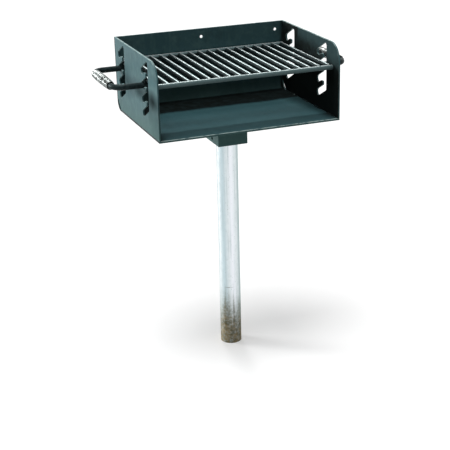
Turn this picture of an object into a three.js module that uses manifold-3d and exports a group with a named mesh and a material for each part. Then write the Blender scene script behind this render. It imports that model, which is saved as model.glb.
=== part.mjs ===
// Charcoal grill for a park: a steel firebox that turns on a single pipe post.
// Millimetres, +Z up. The origin is on the post's axis at the ground line.
// The open front faces -Y, and +X is the right side seen from the front.
import * as THREE from 'three';
import { mergeVertices } from 'three/addons/utils/BufferGeometryUtils.js';
import Module from 'manifold-3d';

const wasm = await Module();
wasm.setup();

// Post and firebox
const FLOOR_HEIGHT = 685;
const POST_DIAMETER = 60.3;
const POST_WALL = 3.9;
const PLATE = 4.8;
const BOX_WIDTH = 508;
const BOX_DEPTH = 375;
const BOX_HEIGHT = 205;
const BEND_RADIUS = 23;
const PANEL_CORNER_RADIUS = 50;
const PANEL_CORNER_CUT = 28;

// Holes in the back wall
const BACK_HOLE_DIAMETER = 8.7;
const BACK_HOLE_DROP = 23.5;
const BACK_HOLE_INSET = 27;

// Socket under the floor, and the pin that keeps the firebox on the post
const SOCKET_DROP = 75;
const SOCKET_SIDE_ROOM = 8.05;
const SOCKET_FRONT_ROOM = 15.05;
const SOCKET_CORNER_RADIUS = 3;
const PIN_DIAMETER = 9.5;
const PIN_PLATE_ROOM = 2.95;
const PIN_CHAMFER = 1;
const ACCESS_HOLE_DIAMETER = 10.5;

// Slots in the side panels: a straight channel with slanting pockets behind it, as many as the height takes
const SEAT_PITCH = 37.6;
const SEATS_ABOVE_GRATE = 1;
const LEAST_SEAT_HEIGHT = 30;
const SLOT_HEAD_DROP = 5;
const FRONT_SEAT_SETBACK = 124.5;
const REAR_SEAT_SETBACK = 40.5;
const SEAT_ROOM = 1.35;
const POCKET_SLOPE = THREE.MathUtils.degToRad(28);
const POCKET_DEPTH = 28;
const CHANNEL_ROOM = 5.4;
const TOOTH_LIP = 7.5;
const TOOTH_RADIUS = 3;
const SLOT_FOOT_RADIUS = 5;
const SLOT_HEAD_RADIUS = 8;

// Cooking grate and its two handle rods
const BAR_DIAMETER = 12.7;
const HANDLE_DIAMETER = 15.9;
const BAR_COUNT = 18;
const GRATE_SIDE_CLEARANCE = 2.3;
const GRATE_REAR_CLEARANCE = 3.35;
const GRATE_FRONT_REACH = 92;
const HANDLE_REACH = 77;
const HANDLE_BEND_RADIUS = 30;
const HANDLE_LEG_GAP = 12;

// Coil spring grips on the handles
const GRIP_END_ROOM = 1;
const GRIP_SWELL = 1.2;
const GRIP_WIRE = 3;
const GRIP_TURN_GAP = 1.1;
const GRIP_SWELL_SHARE = 0.6;
const OPENED_PLACE_SHARE = 0.68;
const OPENED_TURNS_SHARE = 0.06;
const OPENED_LENGTH_SHARE = 0.06;

// Clearances and overruns
const SEAM_GAP = 0.3;
const POST_CLEARANCE = 1;
const PIN_END_CLEARANCE = 1.2;
const CUT_OVERRUN = 2;
const SAME_POINT = 0.001;

// Smoothness
const POST_SIDES = 40;
const ROD_SIDES = 16;
const HOLE_SIDES = 16;
const QUARTER_STEPS = 4;
const FINE_QUARTER_STEPS = 8;
const COIL_STEPS = 8;
const COIL_SIDES = 5;

// Sizes that follow from the ones above
const BAR_RADIUS = BAR_DIAMETER / 2;
const HANDLE_RADIUS = HANDLE_DIAMETER / 2;
const BOX_FRONT = -BOX_DEPTH / 2;
const BOX_BACK = BOX_DEPTH / 2;
const BACK_FACE = BOX_BACK - PLATE;
const INSIDE_WIDTH = BOX_WIDTH - 2 * PLATE;
const SOCKET_INSIDE_WIDTH = POST_DIAMETER + 2 * SOCKET_SIDE_ROOM;
const SOCKET_INSIDE_DEPTH = POST_DIAMETER + 2 * SOCKET_FRONT_ROOM;
const SOCKET_WIDTH = SOCKET_INSIDE_WIDTH + 2 * PLATE;
const SOCKET_DEPTH = SOCKET_INSIDE_DEPTH + 2 * PLATE;
const PIN_HEIGHT = PLATE + PIN_PLATE_ROOM + PIN_DIAMETER / 2 - SOCKET_DROP;
const FRONT_SEAT = BOX_FRONT + FRONT_SEAT_SETBACK;
const SEAT_SPACING = BOX_DEPTH - FRONT_SEAT_SETBACK - REAR_SEAT_SETBACK;
const SEAT_RADIUS = HANDLE_RADIUS + SEAT_ROOM;
const CHANNEL_WIDTH = HANDLE_DIAMETER + CHANNEL_ROOM;
const CHANNEL_REACH = POCKET_DEPTH + CHANNEL_WIDTH;
const HEAD_RISE = SEAT_RADIUS + SEAT_RADIUS / Math.cos(POCKET_SLOPE) + CHANNEL_REACH * Math.tan(POCKET_SLOPE);
const TOP_SEAT_HEIGHT = BOX_HEIGHT - SLOT_HEAD_DROP - HEAD_RISE;
const TOP_ROW = Math.floor((TOP_SEAT_HEIGHT - LEAST_SEAT_HEIGHT) / SEAT_PITCH);
const ROD_SEAT_HEIGHT = TOP_SEAT_HEIGHT - SEATS_ABOVE_GRATE * SEAT_PITCH + SEAM_GAP + HANDLE_RADIUS;
const BAR_LAYER = HANDLE_RADIUS + SEAM_GAP + BAR_RADIUS;
const BAR_SPAN = INSIDE_WIDTH - 2 * GRATE_SIDE_CLEARANCE - BAR_DIAMETER;
const GRATE_REAR_REACH = BACK_FACE - GRATE_REAR_CLEARANCE - BAR_RADIUS - FRONT_SEAT;
const GRIP_LENGTH = SEAT_SPACING - 2 * (HANDLE_BEND_RADIUS + GRIP_END_ROOM);
const GRIP_TURNS = Math.floor(GRIP_LENGTH / (GRIP_WIRE + GRIP_TURN_GAP));

const STRAIGHT = Math.PI;
const QUARTER = STRAIGHT / 2;

// Finishes

function finish(color, roughness, metalness) {
  return new THREE.MeshStandardMaterial({ color, roughness, metalness, flatShading: true });
}

const paintedSteel = () => finish(0x4c6466, 0.6, 0.3);
const grateSteel = () => finish(0x23292b, 0.45, 0.6);
const galvanisedSteel = () => finish(0xc4cdd0, 0.45, 0.8);
const nickelWire = () => finish(0xdfe3e4, 0.25, 1);
const pinSteel = () => finish(0x8d9294, 0.4, 0.9);

// Outlines

// A closed outline through corners [x, y, radius], with an arc at each corner that has a radius.
// An arc starts no further from its corner than halfway along the shorter side.
function outline(corners, quarterSteps = QUARTER_STEPS) {
  const points = [];
  const put = (point) => {
    const last = points[points.length - 1];
    if (!last || point.distanceTo(last) > SAME_POINT) points.push(point);
  };
  corners.forEach(([x, y, radius = 0], index) => {
    const corner = new THREE.Vector2(x, y);
    if (radius === 0) {
      put(corner);
      return;
    }
    const toBefore = new THREE.Vector2(...corners.at(index - 1)).sub(corner);
    const toAfter = new THREE.Vector2(...corners[(index + 1) % corners.length]).sub(corner);
    const halfEdge = Math.min(toBefore.length(), toAfter.length()) / 2;
    toBefore.normalize();
    toAfter.normalize();
    const halfAngle = Math.acos(THREE.MathUtils.clamp(toBefore.dot(toAfter), -1, 1)) / 2;
    const reach = Math.min(radius / Math.tan(halfAngle), halfEdge);
    const middle = toBefore.clone().add(toAfter).normalize();
    const centre = corner.clone().addScaledVector(middle, reach / Math.cos(halfAngle));
    const start = corner.clone().addScaledVector(toBefore, reach);
    const turn = Math.sign(toBefore.cross(toAfter)) * (2 * halfAngle - STRAIGHT);
    const steps = Math.max(1, Math.round((Math.abs(turn) / QUARTER) * quarterSteps));
    for (let step = 0; step <= steps; step += 1) {
      put(start.clone().rotateAround(centre, (turn * step) / steps));
    }
  });
  if (points[0].distanceTo(points[points.length - 1]) <= SAME_POINT) points.pop();
  return points;
}

// A regular outline for a round section, with one point straight up.
function roundOutline(radius, sides) {
  return Array.from({ length: sides }, (_, side) => {
    const angle = QUARTER + (2 * STRAIGHT * side) / sides;
    return new THREE.Vector2(radius * Math.cos(angle), radius * Math.sin(angle));
  });
}

function rectangle(width, depth, radius = 0) {
  return [
    [-width / 2, -depth / 2, radius],
    [width / 2, -depth / 2, radius],
    [width / 2, depth / 2, radius],
    [-width / 2, depth / 2, radius],
  ];
}

function extrude(points, depth, holes = []) {
  const shape = new THREE.Shape(points);
  shape.holes = holes.map((hole) => new THREE.Path(hole));
  return new THREE.ExtrudeGeometry(shape, { depth, bevelEnabled: false });
}

// Turns an outline drawn as (depth, height) and pulled along its own Z into one that is pulled along X.
function standOnSide(geometry) {
  return geometry.rotateY(QUARTER).rotateX(QUARTER);
}

// Solids

function toSolid(geometry) {
  const bare = geometry.clone();
  bare.deleteAttribute('normal');
  bare.deleteAttribute('uv');
  const shared = mergeVertices(bare);
  const vertProperties = new Float32Array(shared.attributes.position.array);
  const triVerts = new Uint32Array(shared.index.array);
  return new wasm.Manifold(new wasm.Mesh({ numProp: 3, vertProperties, triVerts }));
}

function fromSolid(solid) {
  const { vertProperties, triVerts } = solid.getMesh();
  const geometry = new THREE.BufferGeometry();
  geometry.setAttribute('position', new THREE.BufferAttribute(vertProperties, 3));
  geometry.setIndex(new THREE.BufferAttribute(triVerts, 1));
  geometry.computeVertexNormals();
  return geometry;
}

function drilled(geometry, drills) {
  return fromSolid(drills.reduce((solid, drill) => solid.subtract(toSolid(drill)), toSolid(geometry)));
}

// A round drill along X or Y.
function drill(diameter, length, axis) {
  const body = new THREE.CylinderGeometry(diameter / 2, diameter / 2, length, HOLE_SIDES);
  return axis === 'x' ? body.rotateZ(QUARTER) : body;
}

function place(parent, name, geometry, material, x = 0, y = 0, z = 0) {
  const mesh = new THREE.Mesh(geometry, material);
  mesh.name = name;
  mesh.position.set(x, y, z);
  parent.add(mesh);
  return mesh;
}

// Post: a galvanised pipe, drilled across near its top for the pin

function makePostPipe() {
  const outer = POST_DIAMETER / 2;
  const inner = outer - POST_WALL;
  const top = FLOOR_HEIGHT - SEAM_GAP;
  const profile = [
    [inner, 0],
    [outer, 0],
    [outer, top],
    [inner, top],
    [inner, 0],
  ].map(([radius, height]) => new THREE.Vector2(radius, height));
  const pipe = new THREE.LatheGeometry(profile, POST_SIDES).rotateX(QUARTER);
  const hole = drill(PIN_DIAMETER + 2 * SEAM_GAP, POST_DIAMETER + 2 * CUT_OVERRUN, 'x');
  return drilled(pipe, [hole.translate(0, 0, FLOOR_HEIGHT + PIN_HEIGHT)]);
}

function makeRetainingPin() {
  const radius = PIN_DIAMETER / 2;
  const half = SOCKET_INSIDE_WIDTH / 2 - PIN_END_CLEARANCE;
  const profile = [
    [0, -half],
    [radius - PIN_CHAMFER, -half],
    [radius, PIN_CHAMFER - half],
    [radius, half - PIN_CHAMFER],
    [radius - PIN_CHAMFER, half],
    [0, half],
  ].map(([distance, along]) => new THREE.Vector2(distance, along));
  return new THREE.LatheGeometry(profile, HOLE_SIDES).rotateZ(QUARTER);
}

// Socket: a square sleeve welded under the floor, closed below by a plate that the pipe passes through

function makeSocketSleeve() {
  const outer = outline(rectangle(SOCKET_WIDTH, SOCKET_DEPTH, SOCKET_CORNER_RADIUS));
  const inner = outline(rectangle(SOCKET_INSIDE_WIDTH, SOCKET_INSIDE_DEPTH));
  const sleeve = extrude(outer, SOCKET_DROP - SEAM_GAP, [inner]).translate(0, 0, -SOCKET_DROP);
  const access = drill(ACCESS_HOLE_DIAMETER, SOCKET_WIDTH + 2 * CUT_OVERRUN, 'x');
  return drilled(sleeve, [access.translate(0, 0, PIN_HEIGHT)]);
}

function makeSocketBottomPlate() {
  const width = SOCKET_INSIDE_WIDTH - 2 * SEAM_GAP;
  const depth = SOCKET_INSIDE_DEPTH - 2 * SEAM_GAP;
  const hole = roundOutline(POST_DIAMETER / 2 + POST_CLEARANCE, POST_SIDES);
  return extrude(outline(rectangle(width, depth)), PLATE, [hole]);
}

// Firebox pan: floor and back wall bent from one sheet

function makeFireboxPan() {
  const section = outline([
    [BOX_FRONT, 0],
    [BOX_BACK, 0, BEND_RADIUS + PLATE],
    [BOX_BACK, BOX_HEIGHT],
    [BACK_FACE, BOX_HEIGHT],
    [BACK_FACE, PLATE, BEND_RADIUS],
    [BOX_FRONT, PLATE],
  ], FINE_QUARTER_STEPS);
  const sheet = standOnSide(extrude(section, BOX_WIDTH)).translate(-BOX_WIDTH / 2, 0, 0);
  const holes = [-1, 0, 1].map((side) => {
    const hole = drill(BACK_HOLE_DIAMETER, PLATE + 2 * CUT_OVERRUN, 'y');
    const x = side * (BOX_WIDTH / 2 - BACK_HOLE_INSET);
    return hole.translate(x, BOX_BACK - PLATE / 2, BOX_HEIGHT - BACK_HOLE_DROP);
  });
  return drilled(sheet, holes);
}

// Side panels: the rods are lifted through the channel and dropped back into a pocket

function slotOutline(seat) {
  const sin = Math.sin(POCKET_SLOPE);
  const cos = Math.cos(POCKET_SLOPE);
  const slope = Math.tan(POCKET_SLOPE);
  const channelFront = seat - CHANNEL_REACH;
  const toothTip = channelFront + CHANNEL_WIDTH;
  const seatBottom = (row) => TOP_SEAT_HEIGHT - (TOP_ROW - row) * SEAT_PITCH;
  const floorLine = (row, y) => seatBottom(row) + SEAT_RADIUS - SEAT_RADIUS / cos + (seat - y) * slope;
  const roofLine = (row, y) => seatBottom(row) + SEAT_RADIUS + SEAT_RADIUS / cos + (seat - y) * slope;
  const pocketBack = (row, side) => [
    seat + SEAT_RADIUS * (cos + side * sin),
    seatBottom(row) + SEAT_RADIUS * (1 - sin + side * cos),
    SEAT_RADIUS,
  ];
  const tooth = (row) => {
    const lip = seatBottom(row) + TOOTH_LIP;
    const lipEnd = seat - (lip - floorLine(row, seat)) / slope;
    return [
      [toothTip, roofLine(row - 1, toothTip), TOOTH_RADIUS],
      [toothTip, lip, TOOTH_RADIUS],
      [lipEnd, lip, TOOTH_RADIUS],
    ];
  };
  const corners = [[channelFront, floorLine(0, channelFront), SLOT_FOOT_RADIUS]];
  for (let row = 0; row <= TOP_ROW; row += 1) {
    if (row > 0) corners.push(...tooth(row));
    corners.push(pocketBack(row, -1), pocketBack(row, 1));
  }
  corners.push([channelFront, roofLine(TOP_ROW, channelFront), SLOT_HEAD_RADIUS]);
  return outline(corners);
}

function makeSidePanel() {
  const low = PLATE + SEAM_GAP;
  const back = BACK_FACE - SEAM_GAP;
  const edge = outline([
    [BOX_FRONT, low],
    [back - PANEL_CORNER_CUT, low],
    [back, low + PANEL_CORNER_CUT],
    [back, BOX_HEIGHT],
    [BOX_FRONT, BOX_HEIGHT, PANEL_CORNER_RADIUS],
  ], FINE_QUARTER_STEPS);
  const slots = [slotOutline(FRONT_SEAT), slotOutline(FRONT_SEAT + SEAT_SPACING)];
  return standOnSide(extrude(edge, PLATE, slots));
}

// Grate, built about the front rod's axis on the middle plane

function makeBar(length, alongX = false) {
  const bar = new THREE.CylinderGeometry(BAR_RADIUS, BAR_RADIUS, length, ROD_SIDES);
  return alongX ? bar.rotateZ(QUARTER) : bar;
}

// A rod's centre line that is stepped only at the given points.
class SteppedPath extends THREE.Curve {
  constructor(points) {
    super();
    this.points = points;
  }

  getPoint(share, target = new THREE.Vector3()) {
    const last = this.points.length - 1;
    const step = THREE.MathUtils.clamp(Math.floor(share * last), 0, last - 1);
    return target.lerpVectors(this.points[step], this.points[step + 1], share * last - step);
  }

  getUtoTmapping(share) {
    return share;
  }
}

// One U of rod: two legs that lie under the bars and pass out through the slots, joined by a grip bar.
function makeHandle(side) {
  const grip = BOX_WIDTH / 2 + HANDLE_REACH;
  const corners = [
    [HANDLE_LEG_GAP / 2, 0],
    [grip, 0, HANDLE_BEND_RADIUS],
    [grip, SEAT_SPACING, HANDLE_BEND_RADIUS],
    [HANDLE_LEG_GAP / 2, SEAT_SPACING],
  ];
  const route = outline(corners).map((point) => new THREE.Vector3(side * point.x, point.y, 0));
  const section = new THREE.Shape(roundOutline(HANDLE_RADIUS, ROD_SIDES));
  return new THREE.ExtrudeGeometry(section, {
    steps: route.length - 1,
    bevelEnabled: false,
    extrudePath: new SteppedPath(route),
  });
}

// Coil grip: one wire wound round the grip bar, tight at both ends and wide in the middle

// Distance along the grip, as a share, after a share of the turns. A few turns stand open at one place.
function coilAdvance(turnShare, opened) {
  if (!opened) return turnShare;
  const from = OPENED_PLACE_SHARE - OPENED_TURNS_SHARE / 2;
  const step = THREE.MathUtils.smoothstep(turnShare, from, from + OPENED_TURNS_SHARE);
  return turnShare * (1 - OPENED_LENGTH_SHARE) + step * OPENED_LENGTH_SHARE;
}

function coilRoute(opened) {
  const wireRadius = GRIP_WIRE / 2;
  const narrow = (HANDLE_RADIUS + SEAM_GAP + wireRadius) / Math.cos(STRAIGHT / COIL_STEPS);
  const wide = narrow + GRIP_SWELL;
  const count = GRIP_TURNS * COIL_STEPS;
  const route = [];
  for (let step = 0; step <= count; step += 1) {
    const share = coilAdvance(step / count, opened);
    const angle = (2 * STRAIGHT * step) / COIL_STEPS;
    const radius = narrow + (wide - narrow) * Math.sin(STRAIGHT * share) ** GRIP_SWELL_SHARE;
    const along = GRIP_LENGTH * (0.5 - share);
    route.push(new THREE.Vector3(radius * Math.cos(angle), along, radius * Math.sin(angle)));
  }
  return route;
}

// The least gap between one turn and the next, measured between points of the wire's centre line.
function leastTurnGap(route) {
  let least = Infinity;
  route.forEach((point, index) => {
    route.slice(index + COIL_STEPS / 2).forEach((other) => {
      least = Math.min(least, point.distanceTo(other) - GRIP_WIRE);
    });
  });
  return least;
}

// A tube of COIL_SIDES sides through the route, run straight for one wire diameter at both ends.
function makeCoil(route) {
  const count = route.length - 1;
  const rings = [];
  const addRing = (centre, tangent) => {
    const outward = new THREE.Vector3(centre.x, 0, centre.z).normalize();
    const binormal = tangent.clone().cross(outward).normalize();
    const normal = binormal.clone().cross(tangent).normalize();
    rings.push(Array.from({ length: COIL_SIDES }, (_, side) => {
      const angle = (2 * STRAIGHT * side) / COIL_SIDES;
      return centre.clone()
        .addScaledVector(normal, (GRIP_WIRE / 2) * Math.cos(angle))
        .addScaledVector(binormal, (GRIP_WIRE / 2) * Math.sin(angle));
    }));
  };
  const firstTangent = route[1].clone().sub(route[0]).normalize();
  const lastTangent = route[count].clone().sub(route[count - 1]).normalize();
  addRing(route[0].clone().addScaledVector(firstTangent, -GRIP_WIRE), firstTangent);
  route.forEach((point, index) => {
    const before = route[Math.max(index - 1, 0)];
    const after = route[Math.min(index + 1, count)];
    addRing(point, after.clone().sub(before).normalize());
  });
  addRing(route[count].clone().addScaledVector(lastTangent, GRIP_WIRE), lastTangent);

  const positions = rings.flat().flatMap((point) => point.toArray());
  const index = [];
  const at = (ring, side) => ring * COIL_SIDES + (side % COIL_SIDES);
  for (let ring = 0; ring < rings.length - 1; ring += 1) {
    for (let side = 0; side < COIL_SIDES; side += 1) {
      index.push(at(ring, side), at(ring, side + 1), at(ring + 1, side));
      index.push(at(ring, side + 1), at(ring + 1, side + 1), at(ring + 1, side));
    }
  }
  for (let side = 1; side < COIL_SIDES - 1; side += 1) {
    const last = rings.length - 1;
    index.push(at(0, 0), at(0, side + 1), at(0, side));
    index.push(at(last, 0), at(last, side), at(last, side + 1));
  }
  const geometry = new THREE.BufferGeometry();
  geometry.setAttribute('position', new THREE.Float32BufferAttribute(positions, 3));
  geometry.setIndex(index);
  geometry.computeVertexNormals();
  return geometry;
}

// Assembly

const grill = new THREE.Group();

const post = new THREE.Group();
grill.add(post);
place(post, 'post_pipe', makePostPipe(), galvanisedSteel());
place(post, 'retaining_pin', makeRetainingPin(), pinSteel(), 0, 0, FLOOR_HEIGHT + PIN_HEIGHT);

const firebox = new THREE.Group();
firebox.position.z = FLOOR_HEIGHT;
grill.add(firebox);
place(firebox, 'socket_sleeve', makeSocketSleeve(), paintedSteel());
place(firebox, 'socket_bottom_plate', makeSocketBottomPlate(), paintedSteel(), 0, 0, -SOCKET_DROP);
place(firebox, 'firebox_pan', makeFireboxPan(), paintedSteel());
place(firebox, 'side_panel_left', makeSidePanel(), paintedSteel(), -BOX_WIDTH / 2);
place(firebox, 'side_panel_right', makeSidePanel(), paintedSteel(), INSIDE_WIDTH / 2);

const grate = new THREE.Group();
grate.position.set(0, FRONT_SEAT, ROD_SEAT_HEIGHT);
firebox.add(grate);

for (const [name, side] of [['left', -1], ['right', 1]]) {
  const gripPlace = [side * (BOX_WIDTH / 2 + HANDLE_REACH), SEAT_SPACING / 2, 0];
  const route = coilRoute(name === 'left');
  place(grate, `handle_${name}`, makeHandle(side), grateSteel());
  place(grate, `spring_grip_${name}`, makeCoil(route), nickelWire(), ...gripPlace);
  console.log(`spring_grip_${name}: least gap between turns ${leastTurnGap(route).toFixed(2)} mm`);
}

const crossbarLength = BAR_SPAN + BAR_DIAMETER;
for (const [name, y] of [['front', -GRATE_FRONT_REACH], ['rear', GRATE_REAR_REACH]]) {
  place(grate, `grate_crossbar_${name}`, makeBar(crossbarLength, true), grateSteel(), 0, y, BAR_LAYER);
}

const barLength = GRATE_REAR_REACH + GRATE_FRONT_REACH - BAR_DIAMETER - 2 * SEAM_GAP;
const barMiddle = (GRATE_REAR_REACH - GRATE_FRONT_REACH) / 2;
for (let bar = 0; bar < BAR_COUNT; bar += 1) {
  const x = BAR_SPAN * (bar / (BAR_COUNT - 1) - 0.5);
  const name = `grate_bar_${String(bar + 1).padStart(2, '0')}`;
  place(grate, name, makeBar(barLength), grateSteel(), x, barMiddle, BAR_LAYER);
}

export default grill;
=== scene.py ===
# Looks of a charcoal grill for a park: finishes, rounded plate edges, smooth rods, coil grips and welds.
# Metres, +Z up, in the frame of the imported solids. The firebox is open towards -Y.
import math

import bmesh
import bpy
from mathutils import Matrix, Vector, noise


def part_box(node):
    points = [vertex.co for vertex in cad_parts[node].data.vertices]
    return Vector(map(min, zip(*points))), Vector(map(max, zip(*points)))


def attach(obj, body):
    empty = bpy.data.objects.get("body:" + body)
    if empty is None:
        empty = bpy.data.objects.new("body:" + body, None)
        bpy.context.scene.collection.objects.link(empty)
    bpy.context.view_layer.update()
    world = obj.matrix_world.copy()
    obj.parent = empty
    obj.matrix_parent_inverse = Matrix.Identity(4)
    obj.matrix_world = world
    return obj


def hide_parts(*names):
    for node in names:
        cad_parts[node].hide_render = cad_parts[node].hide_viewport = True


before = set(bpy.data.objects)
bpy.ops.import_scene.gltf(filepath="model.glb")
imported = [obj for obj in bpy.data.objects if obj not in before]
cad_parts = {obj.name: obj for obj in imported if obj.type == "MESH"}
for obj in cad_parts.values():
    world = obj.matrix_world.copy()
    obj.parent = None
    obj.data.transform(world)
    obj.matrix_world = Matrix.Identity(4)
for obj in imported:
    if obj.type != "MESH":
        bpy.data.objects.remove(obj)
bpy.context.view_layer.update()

MM = 0.001
WEAR_AND_LIGHT = "wear_and_light"
UP = Vector((0, 0, 1))
QUARTER = math.pi / 2
FULL_TURN = 2 * math.pi

# Camera, fitted to the photograph. Angles in degrees, lens and sensor in mm.
CAMERA_PLACE = Vector((-1.10871, -2.91652, 1.55195))
CAMERA_AZIMUTH = -20.624
CAMERA_ELEVATION = 20.917
CAMERA_ROLL = -1.385
CAMERA_LENS = 93.82
CAMERA_SENSOR = 36.0
CAMERA_REACH = 100.0

# Plates. Angles in degrees.
EDGE_ROUNDING = 0.6 * MM
EDGE_STEPS = 3
CORNER_ROUNDING = 1.2 * MM
CORNER_STEP = 22.5
SHARP_CORNER = 60
MITRE_LIMIT = 0.4
# Cut faces of the plates are lighter: rubbing with a painted highlight
CUT_FACE_WEAR_AND_HIGHLIGHT = 0.45
BACK_HOLE_RADIUS = 4.35 * MM
BACK_HOLE_INSET = 27 * MM
BACK_HOLE_DROP = 23.5 * MM
ACCESS_HOLE_RADIUS = 5.25 * MM
HOLE_CHAMFER = 0.5 * MM
DRILL_OVERRUN = 2 * MM
DRILL_SIDES = 40
SAME_POINT = MM / 1000
FLAT_WITHIN = MM / 100

# Rods
ROD_SIDES = 24
ROD_STEP = 9 * MM
ROD_END_ROUNDING = 1.6 * MM
ROD_END_STEPS = 4
ROD_UNEVENNESS = 0.07 * MM
ROD_NOISE = 90
HANDLE_BEND = 30 * MM
HANDLE_BEND_STEPS = 14

# Coil grips: the same winding as the solids, with a rounder wire
GRIP_WIRE = 3 * MM
GRIP_TURNS = 36
GRIP_SWELL_SHARE = 0.6
GRIP_ROD_GAP = 0.3 * MM
OPENED_PLACE_SHARE = 0.68
OPENED_TURNS_SHARE = 0.06
OPENED_LENGTH_SHARE = 0.06
COIL_STEPS = 28
COIL_SIDES = 12

# Post
POST_WALL = 3.9 * MM
POST_SIDES = 96
POST_STEP = 8 * MM
POST_UNEVENNESS = 0.12 * MM
POST_NOISE_ROUND = 3
POST_NOISE_UP = 9
PIN_HOLE_CLEARANCE = 0.3 * MM

# Weld beads. Shares are of the bead's radius, and the angles over a bar are in degrees from its top.
BEAD_PITCH = 2.6 * MM
BEAD_STEPS = 5
BEAD_LEAST_STEPS = 6
BEAD_SIDES = 10
BEAD_RIPPLE_SHARE = 0.14
BEAD_WANDER_SHARE = 0.25
BEAD_WANDER_NOISE = 300
BEAD_TAPER_SHARE = 1.5
BEAD_END_SHARE = 0.15
SEAM_BEAD = 2.6 * MM
SOCKET_BEAD = 3.4 * MM
GRATE_BEAD = 1.9 * MM
LEG_BEAD_REACH_SHARE = 1.6
CROSSBAR_BEAD_SHARE = 0.8
CROSSBAR_BEAD_ANGLES = range(-100, 101, 20)

# Places of the beads. Shares are of a bar's radius.
STITCH_LENGTH = 42 * MM
FLOOR_STITCHES = 4
BACK_STITCHES = 2
SEAM_FRONT_ROOM = 8 * MM
SEAM_REAR_ROOM = 40 * MM
SEAM_BEND_ROOM = 38 * MM
SEAM_TOP_ROOM = 6 * MM
LEG_BEAD_SIDE_SHARE = 0.5
CROSSBAR_BEAD_WIDTH_SHARE = 0.86
CROSSBAR_BEAD_HEIGHT_SHARE = 0.80

# Steepest fold, in degrees, that is still shaded as smooth
PLATE_FOLD = 35
WIRE_FOLD = 60
WELD_FOLD = 70

# Stage and lamps. A lamp has a name, an azimuth, an elevation and a softness in degrees, and a level.
FLOOR_SIZE = 40.0
FLOOR_GLOW = 0.36
FLOOR_SEEN = (0.66, 0.66, 0.66)
FLOOR_UNSEEN = (0.35, 0.35, 0.35)
WHITE = (1, 1, 1)
SKY_LIGHT = 0.16
LAMPS = (("key_left", -129, 12, 20, 0.84),
         ("top", -60, 80, 30, 0.74),
         ("rear", 172, 48, 12, 0.20))


def centre(node):
    low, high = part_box(node)
    return (low + high) / 2


PAN_LOW, PAN_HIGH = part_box("firebox_pan")
PANEL_LOW, PANEL_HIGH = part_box("side_panel_right")
PLATE = PANEL_HIGH.x - PANEL_LOW.x
FLOOR_TOP = PAN_LOW.z + PLATE
BACK_INSIDE = PAN_HIGH.y - PLATE
SIDE_INSIDE = PANEL_LOW.x
BAR_RADIUS = (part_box("grate_crossbar_front")[1].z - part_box("grate_crossbar_front")[0].z) / 2
HANDLE_RADIUS = (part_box("handle_right")[1].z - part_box("handle_right")[0].z) / 2


# Shader nodes

class Finish:
    """One material, and short calls that add nodes to it. A call gives the node's first output."""

    NOISE_ROUGHNESS = 0.55
    # The sockets of a Mix node that carry its share and its colours
    MIX_INPUTS = (0, 6, 7)
    MIX_OUTPUT = 2

    def __init__(self, name):
        self.material = bpy.data.materials.new(name)
        self.material.use_nodes = True
        self.tree = self.material.node_tree
        self.tree.nodes.clear()
        self.place = self.add("ShaderNodeTexCoord").node.outputs["Object"]
        self.facing = self.place.node.outputs["Normal"]

    def add(self, kind, settings=None, **inputs):
        node = self.tree.nodes.new(kind)
        for name, value in (settings or {}).items():
            setattr(node, name, value)
        for name, value in inputs.items():
            self.feed(node.inputs[name.replace("_", " ")], value)
        return node.outputs[0]

    def feed(self, socket, value):
        if isinstance(value, bpy.types.NodeSocket):
            self.tree.links.new(value, socket)
        elif socket.type == "RGBA":
            socket.default_value = (*value, 1.0)
        else:
            socket.default_value = value

    def maths(self, operation, *values, clamp=False):
        node = self.tree.nodes.new("ShaderNodeMath")
        node.operation = operation
        node.use_clamp = clamp
        for socket, value in zip(node.inputs, values):
            self.feed(socket, value)
        return node.outputs[0]

    def times(self, first, second, clamp=False):
        return self.maths("MULTIPLY", first, second, clamp=clamp)

    def line(self, value, slope, start, clamp=False):
        """A value times a slope, plus a start."""
        return self.maths("MULTIPLY_ADD", value, slope, start, clamp=clamp)

    def most(self, first, second):
        return self.maths("MAXIMUM", first, second)

    def axes(self, vector):
        return self.add("ShaderNodeSeparateXYZ", Vector=vector).node.outputs

    def wear_and_light(self):
        return self.add("ShaderNodeAttribute", {"attribute_name": WEAR_AND_LIGHT}).node.outputs["Fac"]

    def noise(self, scale, detail, roughness=NOISE_ROUGHNESS, stretch=None):
        """A noise of one scale, or of its own scale along each axis where it is stretched."""
        where = self.add("ShaderNodeMapping", Vector=self.place, Scale=stretch) if stretch else self.place
        return self.add("ShaderNodeTexNoise", Vector=where, Scale=scale, Detail=detail, Roughness=roughness)

    def ramp(self, value, low, high):
        """0 at low, 1 at high, smooth between them and clamped past both."""
        settings = {"clamp": True, "interpolation_type": "SMOOTHSTEP"}
        return self.add("ShaderNodeMapRange", settings, Value=value, From_Min=low, From_Max=high)

    def patch(self, middle, reach):
        """1 at a point, falling to 0 at its reach along each axis. A reach of 0 is endless."""
        scale = [1 / size if size else 0 for size in reach]
        shift = [-place * factor for place, factor in zip(middle, scale)]
        where = self.add("ShaderNodeMapping", Vector=self.place, Scale=scale, Location=shift)
        ball = self.add("ShaderNodeTexGradient", {"gradient_type": "SPHERICAL"}, Vector=where)
        return ball.node.outputs["Fac"]

    def mix(self, share, first, second):
        node = self.tree.nodes.new("ShaderNodeMix")
        node.data_type = "RGBA"
        for index, value in zip(self.MIX_INPUTS, (share, first, second)):
            self.feed(node.inputs[index], value)
        return node.outputs[self.MIX_OUTPUT]

    def coat(self, under, amount, share, colour):
        """A colour laid over another, at most as thick as the share says."""
        return self.mix(self.times(amount, share), under, colour)

    def bump(self, height, distance, strength, under=None):
        inputs = {"Height": height, "Distance": distance, "Strength": strength}
        if under:
            inputs["Normal"] = under
        return self.add("ShaderNodeBump", **inputs)

    def surface(self, **inputs):
        shader = self.add("ShaderNodeBsdfPrincipled", **inputs)
        self.tree.links.new(shader, self.tree.nodes.new("ShaderNodeOutputMaterial").inputs["Surface"])
        return self.material


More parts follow.
